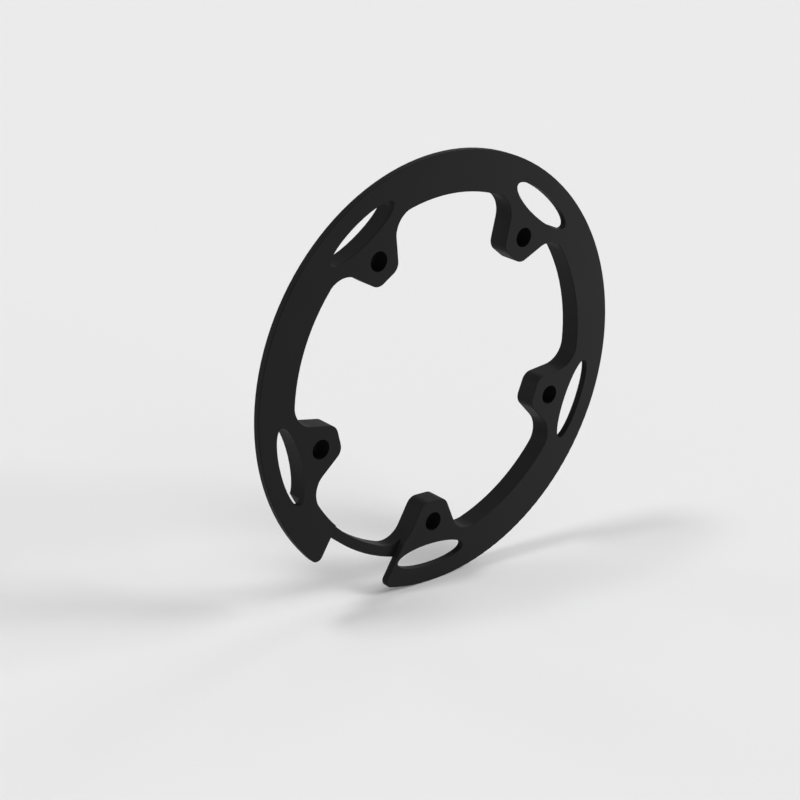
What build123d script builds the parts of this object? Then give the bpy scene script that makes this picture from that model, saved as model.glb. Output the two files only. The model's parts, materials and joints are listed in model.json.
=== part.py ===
from build123d import *

import os
from math import radians, tan

# Chain guard for a bicycle: a moulded ring that bolts to the outside of a five-arm chainring.
# It is one piece. A thin plate covers the chainring's teeth, a rib stiffens the plate's inner
# edge from behind, and five tabs reach inwards to the chainring bolts and stand the plate off.
# The guard is upright, as it is fitted: X to the right and Z up as seen from outside, with the
# outside towards -Y. The origin is the bolt circle's centre, on the tabs' rear seating faces.
# Lengths are in millimetres. Angles are in degrees from +X, anticlockwise as seen from outside.

# Fixing
bolt_circle = 130.0         # diameter of the circle through the bolt axes
bolt_count = 5
bolt_hole = 8.2             # clearance hole for an M8 chainring bolt
first_bolt_angle = 121.3

# Ring
rim_diameter = 185.0
window_diameter = 151.0     # the open middle, between the tabs
plate_thickness = 3.0
rib_width = 4.5             # outwards from the edge of the window
rib_depth = 6.0             # from the seating faces forward to the back of the plate

# Tabs
tab_reach = 9.5             # from a bolt's axis inwards to the flat tip
tab_tip_width = 12.0        # before its corners are rounded
tab_flank_angle = 26.2      # of each side, from the tab's own middle line
tab_corner_radius = 5.0
tab_root_radius = 10.0      # where a side runs into the window's edge

# Elliptical slot outside each bolt
slot_length = 36.0
slot_width = 10.0
slot_offset = 15.0          # from a bolt's axis outwards to the slot's centre

# Notch in the plate for the crank arm
notch_width = 40.0
notch_turn = 28.0           # clockwise from the fourth bolt
notch_corner_radius = 3.0   # at the rim

# Edges of the outside face, along the rim, the notch, the window and the tabs
edge_radius = 0.3

# Worked out from the sizes above
bolt_radius = bolt_circle / 2
bolt_pitch = 360 / bolt_count
rim_radius = rim_diameter / 2
window_radius = window_diameter / 2
rib_radius = window_radius + rib_width
total_depth = rib_depth + plate_thickness
tip_radius = bolt_radius - tab_reach
tip_half_width = tab_tip_width / 2
root_half_width = tip_half_width + (window_radius - tip_radius) * tan(radians(tab_flank_angle))
slot_radius = bolt_radius + slot_offset
notch_angle = first_bolt_angle - 3 * bolt_pitch - notch_turn
notch_start = window_radius - tab_root_radius


# The window: a round opening with the tabs standing into it, tips and roots rounded
with BuildSketch() as window:
    Circle(window_radius)
    with PolarLocations(0, bolt_count, start_angle=first_bolt_angle):
        Polygon(
            (tip_radius, -tip_half_width),
            (window_radius, -root_half_width),
            (window_radius, root_half_width),
            (tip_radius, tip_half_width),
            align=None,
            mode=Mode.SUBTRACT,
        )
    fillet(window.vertices().group_by(SortBy.DISTANCE)[0], tab_corner_radius)
    fillet(window.vertices().group_by(SortBy.DISTANCE)[-1], tab_root_radius)

# The plate's outline: the rim, open at the notch, which runs inwards past the tab roots
with BuildSketch() as plate:
    Circle(rim_radius)
    with PolarLocations(notch_start, 1, start_angle=notch_angle):
        Rectangle(rim_radius, notch_width, align=(Align.MIN, Align.CENTER), mode=Mode.SUBTRACT)
    fillet(plate.vertices().group_by(SortBy.DISTANCE)[-1], notch_corner_radius)
    add(window.sketch, mode=Mode.SUBTRACT)

with BuildPart() as chain_guard:
    # Rib and tabs, from the seating faces forward
    with BuildSketch(Plane.XZ):
        Circle(rib_radius)
        add(window.sketch, mode=Mode.SUBTRACT)
    extrude(amount=rib_depth)

    # Plate
    with BuildSketch(Plane.XZ.offset(rib_depth)):
        add(plate.sketch)
    extrude(amount=plate_thickness)

    # Rounded edges of the outside face, before the slots and bolt holes open it
    fillet(chain_guard.faces().sort_by(Axis.Y)[0].edges(), edge_radius)

    # Slots, through plate and rib
    with BuildSketch(Plane.XZ):
        with PolarLocations(slot_radius, bolt_count, start_angle=first_bolt_angle):
            Ellipse(slot_width / 2, slot_length / 2)
    extrude(amount=total_depth, mode=Mode.SUBTRACT)

    # Bolt holes
    with BuildSketch(Plane.XZ):
        with PolarLocations(bolt_radius, bolt_count, start_angle=first_bolt_angle):
            Circle(bolt_hole / 2)
    extrude(amount=total_depth, mode=Mode.SUBTRACT)

chain_guard.part.label = "chain_guard"

os.makedirs("parts", exist_ok=True)
export_step(chain_guard.part, "parts/chain_guard.step")
print("chain_guard", chain_guard.part.bounding_box(), "volume", round(chain_guard.part.volume, 1), "mm3")
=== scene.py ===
"""Finish, studio and camera for a moulded bicycle chain guard.

The guard is one piece of black plastic. It stands on its rim on a pale floor, under soft light, and
its outside faces -Y. Lengths are in metres and the frame is the guard's own: X to the right and Z up
as seen from outside, with the origin at the centre of its bolt circle.
"""

import json
from math import cos, pi, radians, sin

import bpy
from bpy.props import FloatProperty, FloatVectorProperty, PointerProperty
from bpy.types import Operator, Panel, PropertyGroup
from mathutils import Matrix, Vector


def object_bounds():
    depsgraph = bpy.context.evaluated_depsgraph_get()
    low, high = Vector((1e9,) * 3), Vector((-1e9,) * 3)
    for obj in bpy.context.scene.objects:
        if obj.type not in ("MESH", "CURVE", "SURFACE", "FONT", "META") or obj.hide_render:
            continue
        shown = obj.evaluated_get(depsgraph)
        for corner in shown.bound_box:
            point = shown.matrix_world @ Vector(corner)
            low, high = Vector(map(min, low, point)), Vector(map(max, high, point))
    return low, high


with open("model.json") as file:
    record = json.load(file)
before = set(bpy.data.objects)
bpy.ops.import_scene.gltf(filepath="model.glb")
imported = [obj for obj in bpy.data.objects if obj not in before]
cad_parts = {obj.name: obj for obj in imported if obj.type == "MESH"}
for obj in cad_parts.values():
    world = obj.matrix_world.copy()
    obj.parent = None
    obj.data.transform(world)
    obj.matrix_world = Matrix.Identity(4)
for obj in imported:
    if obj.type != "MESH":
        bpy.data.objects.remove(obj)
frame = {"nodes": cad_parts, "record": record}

bl_info = {
    "name": "Chain Guard",
    "version": (1, 0, 0),
    "blender": (4, 5, 0),
    "location": "View3D > Sidebar > Chain Guard",
    "description": "Finish, studio and camera for a moulded bicycle chain guard",
    "category": "Object",
}

GUARD = frame["nodes"]["chain_guard"]
MODEL_BOX = [list(corner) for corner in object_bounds()]
FLOOR_LEVEL = MODEL_BOX[0][2]
BOLTS = next(m for m in frame["record"]["mounts"] if m["name"] == "bolt_circle")["dims"]
MILLIMETRE = 0.001
FIRST_BOLT = radians(121.3)     # turn from +X, as in the CAD model
# Painted shade: a darker matt colour covers the bolt holes' walls out to this reach from each bolt's axis
BORE_SHADE_MARGIN = 0.02              # in millimetres, to take in a bolt hole's wall
BORE_SHADE_REACH = (BOLTS["hole_r_mm"] + BORE_SHADE_MARGIN) * MILLIMETRE

# The floor leans a little to the right, and the guard stands on it on its round rim
FLOOR_LEAN = radians(2.4)
FLOOR_UP = Vector((sin(FLOOR_LEAN), 0, cos(FLOOR_LEAN)))

# Distant lamps: turn from +X, height and spread, in degrees, and the share of a fully lit floor's light
# that each would give. These light the guard alone, beside a softbox near its front.
GUARD_LAMPS = {
    "left_high": (153, 53, 14, 0.095),
    "left_higher": (158, 65, 14, 0.050),
    "left_highest": (167, 76, 14, 0.027),
    "right_high": (12, 37, 9, 0.055),
    "right_low": (0, 27, 9, 0.048),
    "behind_left_low": (136, 10, 12, 0.015),
    "front_left": (228, 52, 30, 0.050),
    "behind_right": (55, 72, 20, 0.035),
}

# These light the floor alone, and their shares add up to 1 with the sky's
FLOOR_LAMPS = {
    "floor_front_right": (317, 32, 20, 0.235),
    "floor_right_edge": (336, 29, 14, 0.065),
    "floor_right": (7, 35, 24, 0.095),
    "floor_front": (302, 30, 24, 0.045),
    "floor_front_low": (287, 12, 24, 0.040),
    "floor_left_high": (154, 66, 14, 0.220),
    "floor_behind_left": (108, 26, 24, 0.030),
}


class Link:
    """A shader socket that adds Math nodes when it is used in an expression"""

    def __init__(self, tree, socket):
        self.tree = tree
        self.socket = socket

    def math(self, operation, *others):
        """Result of a Math node on this socket and the other values"""
        return self.tree.math(operation, self, *others)

    def __add__(self, other):
        return self.math("ADD", other)

    def __radd__(self, other):
        return self.math("ADD", other)

    def __sub__(self, other):
        return self.math("SUBTRACT", other)

    def __rsub__(self, other):
        return self.tree.math("SUBTRACT", other, self)

    def __mul__(self, other):
        return self.math("MULTIPLY", other)

    def __rmul__(self, other):
        return self.math("MULTIPLY", other)

    def __lt__(self, other):
        return self.math("LESS_THAN", other)


class NodeTree:
    """The nodes of a material or a world"""

    def __init__(self, owner):
        owner.use_nodes = True
        self.nodes = owner.node_tree.nodes
        self.links = owner.node_tree.links
        self.nodes.clear()

    def node(self, kind, settings=None, inputs=None, output=0):
        """Adds a node of that type, sets its settings, then the values or links of its sockets"""
        node = self.nodes.new(kind)
        for name, value in (settings or {}).items():
            setattr(node, name, value)
        for name, value in (inputs or {}).items():
            if isinstance(value, Link):
                self.links.new(value.socket, node.inputs[name])
            else:
                node.inputs[name].default_value = value
        return Link(self, node.outputs[output]) if node.outputs else node

    def math(self, operation, *values):
        """Result of a Math node on sockets and numbers"""
        return self.node("ShaderNodeMath", {"operation": operation}, dict(enumerate(values)))


class GuardFinish(PropertyGroup):
    """Look of the moulded plastic"""

    plastic_colour: FloatVectorProperty(
        name="Plastic", description="Colour of the moulded plastic", subtype="COLOR",
        size=4, min=0.0, max=1.0, default=(0.0141, 0.0141, 0.0141, 1.0))
    # Darker colour painted inside the bolt holes as the shade of their deep walls
    bore_shade_colour: FloatVectorProperty(
        name="Bores", description="Colour inside the bolt holes", subtype="COLOR",
        size=4, min=0.0, max=1.0, default=(0.008, 0.008, 0.008, 1.0))
    roughness: FloatProperty(
        name="Roughness", description="Mean roughness of the satin surface",
        subtype="FACTOR", min=0.0, max=1.0, default=0.5)
    shine: FloatProperty(
        name="Shine", description="Strength of the surface's reflections",
        subtype="FACTOR", min=0.0, max=1.0, default=0.03)
    cloud_size: FloatProperty(
        name="Cloud size", description="Size of the soft patches in the colour and the roughness",
        unit="LENGTH", min=0.001, default=0.035)
    cloud_colour: FloatProperty(
        name="Cloud colour", description="Part by which the patches change the colour",
        subtype="FACTOR", min=0.0, max=1.0, default=0.12)
    cloud_roughness: FloatProperty(
        name="Cloud roughness", description="Amount by which the patches change the roughness",
        subtype="FACTOR", min=0.0, max=1.0, default=0.06)
    grain_size: FloatProperty(
        name="Grain size", description="Size of the fine grain of the mould's surface",
        unit="LENGTH", min=0.0001, default=0.0005)
    grain_depth: FloatProperty(
        name="Grain depth", description="Depth of the fine grain",
        unit="LENGTH", min=0.0, default=0.00001)


class Studio(PropertyGroup):
    """Floor, light and camera"""

    floor_colour: FloatVectorProperty(
        name="Floor", description="Colour of the floor and of the background", subtype="COLOR",
        size=4, min=0.0, max=1.0, default=(0.83, 0.83, 0.83, 1.0))
    floor_size: FloatProperty(
        name="Floor size", description="Side of the square floor", unit="LENGTH", min=1.0, default=60.0)
    sky_share: FloatProperty(
        name="Sky", description="Share of the floor's light that the even sky gives",
        subtype="FACTOR", min=0.0, max=1.0, default=0.27)
    softbox_place: FloatVectorProperty(
        name="Softbox place", description="Centre of the front softbox", subtype="XYZ", unit="LENGTH",
        size=3, default=(0.37, -0.22, 0.08))
    softbox_size: FloatProperty(
        name="Softbox size", description="Side of the square front softbox", unit="LENGTH",
        min=0.01, default=0.2)
    softbox_power: FloatProperty(
        name="Softbox power", description="Power of the front softbox", unit="POWER",
        min=0.0, default=2.8)
    camera_place: FloatVectorProperty(
        name="Camera place", description="Where the camera stands", subtype="XYZ", unit="LENGTH",
        size=3, default=(-0.46803, -0.54304, 0.29161))
    camera_heading: FloatProperty(
        name="Heading", description="Turn of the camera to the right of +Y",
        subtype="ANGLE", unit="ROTATION", default=radians(39.784))
    camera_tilt: FloatProperty(
        name="Tilt", description="Angle at which the camera looks down",
        subtype="ANGLE", unit="ROTATION", default=radians(23.105))
    focal_length: FloatProperty(
        name="Focal length", description="Focal length of the lens, in millimetres", min=1.0, default=85.271)
    sensor_width: FloatProperty(
        name="Sensor", description="Width of the camera's sensor, in millimetres", min=1.0, default=36.0)


def direction(turn, height):
    """Unit vector towards a lamp"""
    return Vector((cos(turn) * cos(height), sin(turn) * cos(height), sin(height)))


def distance(first, second):
    """Distance from an axis, from its two parts at a right angle"""
    return (first * first + second * second).math("SQRT")


def distance_from_bolt(tree, place):
    """Distance from the axis of the nearest bolt, in metres"""
    across, up = (tree.node("ShaderNodeSeparateXYZ", None, {"Vector": place}, output=axis) for axis in "XZ")
    half_pitch = pi / BOLTS["count"]
    bolt_radius = BOLTS["pcd_mm"] / 2 * MILLIMETRE
    turned = (up.math("ARCTAN2", across) - FIRST_BOLT).math("WRAP", half_pitch, -half_pitch)
    radius = distance(across, up)
    return distance(radius * turned.math("COSINE") - bolt_radius, radius * turned.math("SINE"))


def plastic_material(look):
    """Black moulded plastic: satin, with fine grain and soft patches, and a darker matt colour painted in
    the bolt holes as their shade
    """
    material = bpy.data.materials.new("black_plastic")
    tree = NodeTree(material)
    place = tree.node("ShaderNodeTexCoord", output="Object")

    cloud = 2 * tree.node("ShaderNodeTexNoise", None, {
        "Vector": place, "Scale": 1 / look.cloud_size, "Detail": 3.0, "Roughness": 0.5}, output="Fac") - 1
    grain = tree.node("ShaderNodeTexNoise", None, {
        "Vector": place, "Scale": 1 / look.grain_size, "Detail": 2.0, "Roughness": 0.6}, output="Fac")
    bumps = tree.node("ShaderNodeBump", None, {
        "Strength": 1.0, "Distance": look.grain_depth, "Height": grain}, output="Normal")
    colour = tree.node("ShaderNodeMix", {"data_type": "RGBA", "blend_type": "MULTIPLY"}, {
        "Factor": 1.0, "A": look.plastic_colour, "B": 1 + look.cloud_colour * cloud}, output="Result")

    satin = tree.node("ShaderNodeBsdfPrincipled", None, {
        "Base Color": colour,
        "Roughness": look.roughness + look.cloud_roughness * cloud,
        "Specular IOR Level": look.shine,
        "Normal": bumps,
    })
    # Painted shade: inside the bolt holes the satin plastic gives way to a darker matt colour
    matt = tree.node("ShaderNodeBsdfDiffuse", None, {"Color": look.bore_shade_colour, "Normal": bumps})
    bore_shade_mask = distance_from_bolt(tree, place) < BORE_SHADE_REACH
    surface = tree.node("ShaderNodeMixShader", None, {0: bore_shade_mask, 1: satin, 2: matt})
    tree.node("ShaderNodeOutputMaterial", None, {"Surface": surface})
    return material


class CHAINGUARD_OT_finish(Operator):
    """Gives the chain guard its black moulded plastic"""

    bl_idname = "chain_guard.finish"
    bl_label = "Guard finish"

    def execute(self, context):
        material = plastic_material(context.scene.chain_guard_finish)
        GUARD.data.materials.clear()
        GUARD.data.materials.append(material)
        return {"FINISHED"}


def floor_material(studio):
    """Matt pale floor"""
    material = bpy.data.materials.new("studio_floor")
    tree = NodeTree(material)
    matt = tree.node("ShaderNodeBsdfDiffuse", None, {"Color": studio.floor_colour})
    tree.node("ShaderNodeOutputMaterial", None, {"Surface": matt})
    return material


def add_floor(studio):
    """Floor that touches the guard's round rim"""
    half = studio.floor_size / 2
    corners = [(-half, -half, 0), (half, -half, 0), (half, half, 0), (-half, half, 0)]
    mesh = bpy.data.meshes.new("floor")
    mesh.from_pydata(corners, [], [(0, 1, 2, 3)])
    mesh.materials.append(floor_material(studio))
    floor = bpy.data.objects.new("floor", mesh)
    floor.location = FLOOR_UP * FLOOR_LEVEL
    floor.rotation_euler.y = FLOOR_LEAN
    bpy.context.scene.collection.objects.link(floor)
    return floor


def add_sky(studio):
    """Even sky for the light, with the pale background where the camera or a reflection sees it"""
    world = bpy.data.worlds.new("studio_sky")
    bpy.context.scene.world = world
    tree = NodeTree(world)
    seen = tree.node("ShaderNodeLightPath", output="Is Camera Ray")
    for ray in ("Is Glossy Ray", "Is Transmission Ray"):
        seen = seen.math("MAXIMUM", tree.node("ShaderNodeLightPath", output=ray))
    light = tree.node("ShaderNodeBackground", None, {"Color": (1, 1, 1, 1), "Strength": studio.sky_share})
    backdrop = tree.node("ShaderNodeBackground", None, {"Color": studio.floor_colour, "Strength": 1.0})
    mixed = tree.node("ShaderNodeMixShader", None, {0: seen, 1: light, 2: backdrop})
    tree.node("ShaderNodeOutputWorld", None, {"Surface": mixed})


def add_lamp(name, turn, height, spread, share):
    """Distant lamp with that share of a fully lit floor's light"""
    towards = direction(radians(turn), radians(height))
    data = bpy.data.lights.new(name, "SUN")
    data.energy = share * pi / towards.dot(FLOOR_UP)
    data.angle = radians(spread)
    lamp = bpy.data.objects.new(name, data)
    lamp.rotation_euler = towards.to_track_quat("Z", "Y").to_euler()
    lamp.location = towards
    bpy.context.scene.collection.objects.link(lamp)
    return lamp


def add_softbox(studio):
    """Square lamp near the guard's front, facing the middle of the guard and not seen in its shine"""
    data = bpy.data.lights.new("front_softbox", "AREA")
    data.energy = studio.softbox_power
    data.size = studio.softbox_size
    softbox = bpy.data.objects.new("front_softbox", data)
    softbox.location = studio.softbox_place
    softbox.rotation_euler = softbox.location.to_track_quat("Z", "Y").to_euler()
    softbox.visible_glossy = False
    bpy.context.scene.collection.objects.link(softbox)
    return softbox


def light_only(lamp, thing):
    """Lets a lamp light that one object"""
    lit = bpy.data.collections.new(lamp.name)
    lit.objects.link(thing)
    lamp.light_linking.receiver_collection = lit


def add_camera(studio):
    """Camera at the photograph's place"""
    data = bpy.data.cameras.new("camera")
    data.sensor_width = studio.sensor_width
    data.lens = studio.focal_length
    camera = bpy.data.objects.new("camera", data)
    camera.location = studio.camera_place
    camera.rotation_euler = (radians(90) - studio.camera_tilt, 0, -studio.camera_heading)
    bpy.context.scene.collection.objects.link(camera)
    bpy.context.scene.camera = camera


class CHAINGUARD_OT_stage(Operator):
    """Sets up the floor, the light and the camera"""

    bl_idname = "chain_guard.stage"
    bl_label = "Studio"

    def execute(self, context):
        studio = context.scene.chain_guard_studio
        floor = add_floor(studio)
        add_sky(studio)
        for name, values in GUARD_LAMPS.items():
            light_only(add_lamp(name, *values), GUARD)
        for name, values in FLOOR_LAMPS.items():
            light_only(add_lamp(name, *values), floor)
        light_only(add_softbox(studio), GUARD)
        add_camera(studio)
        context.scene.view_settings.view_transform = "Standard"
        return {"FINISHED"}


class CHAINGUARD_PT_sidebar(Panel):
    """Settings and steps of the chain guard"""

    bl_label = "Chain Guard"
    bl_space_type = "VIEW_3D"
    bl_region_type = "UI"
    bl_category = "Chain Guard"

    def draw(self, context):
        scene = context.scene
        for settings, operator in (
            (scene.chain_guard_finish, CHAINGUARD_OT_finish),
            (scene.chain_guard_studio, CHAINGUARD_OT_stage),
        ):
            box = self.layout.box()
            for name in settings.bl_rna.properties.keys():
                if name not in ("rna_type", "name"):
                    box.prop(settings, name)
            box.operator(operator.bl_idname)


CLASSES = (GuardFinish, Studio, CHAINGUARD_OT_finish, CHAINGUARD_OT_stage, CHAINGUARD_PT_sidebar)


def register():
    for cls in CLASSES:
        bpy.utils.register_class(cls)
    bpy.types.Scene.chain_guard_finish = PointerProperty(type=GuardFinish)
    bpy.types.Scene.chain_guard_studio = PointerProperty(type=Studio)


def unregister():
    del bpy.types.Scene.chain_guard_studio
    del bpy.types.Scene.chain_guard_finish
    for cls in reversed(CLASSES):
        bpy.utils.unregister_class(cls)


def main():
    register()
    bpy.ops.chain_guard.finish()
    bpy.ops.chain_guard.stage()


if __name__ == "__main__":
    main()
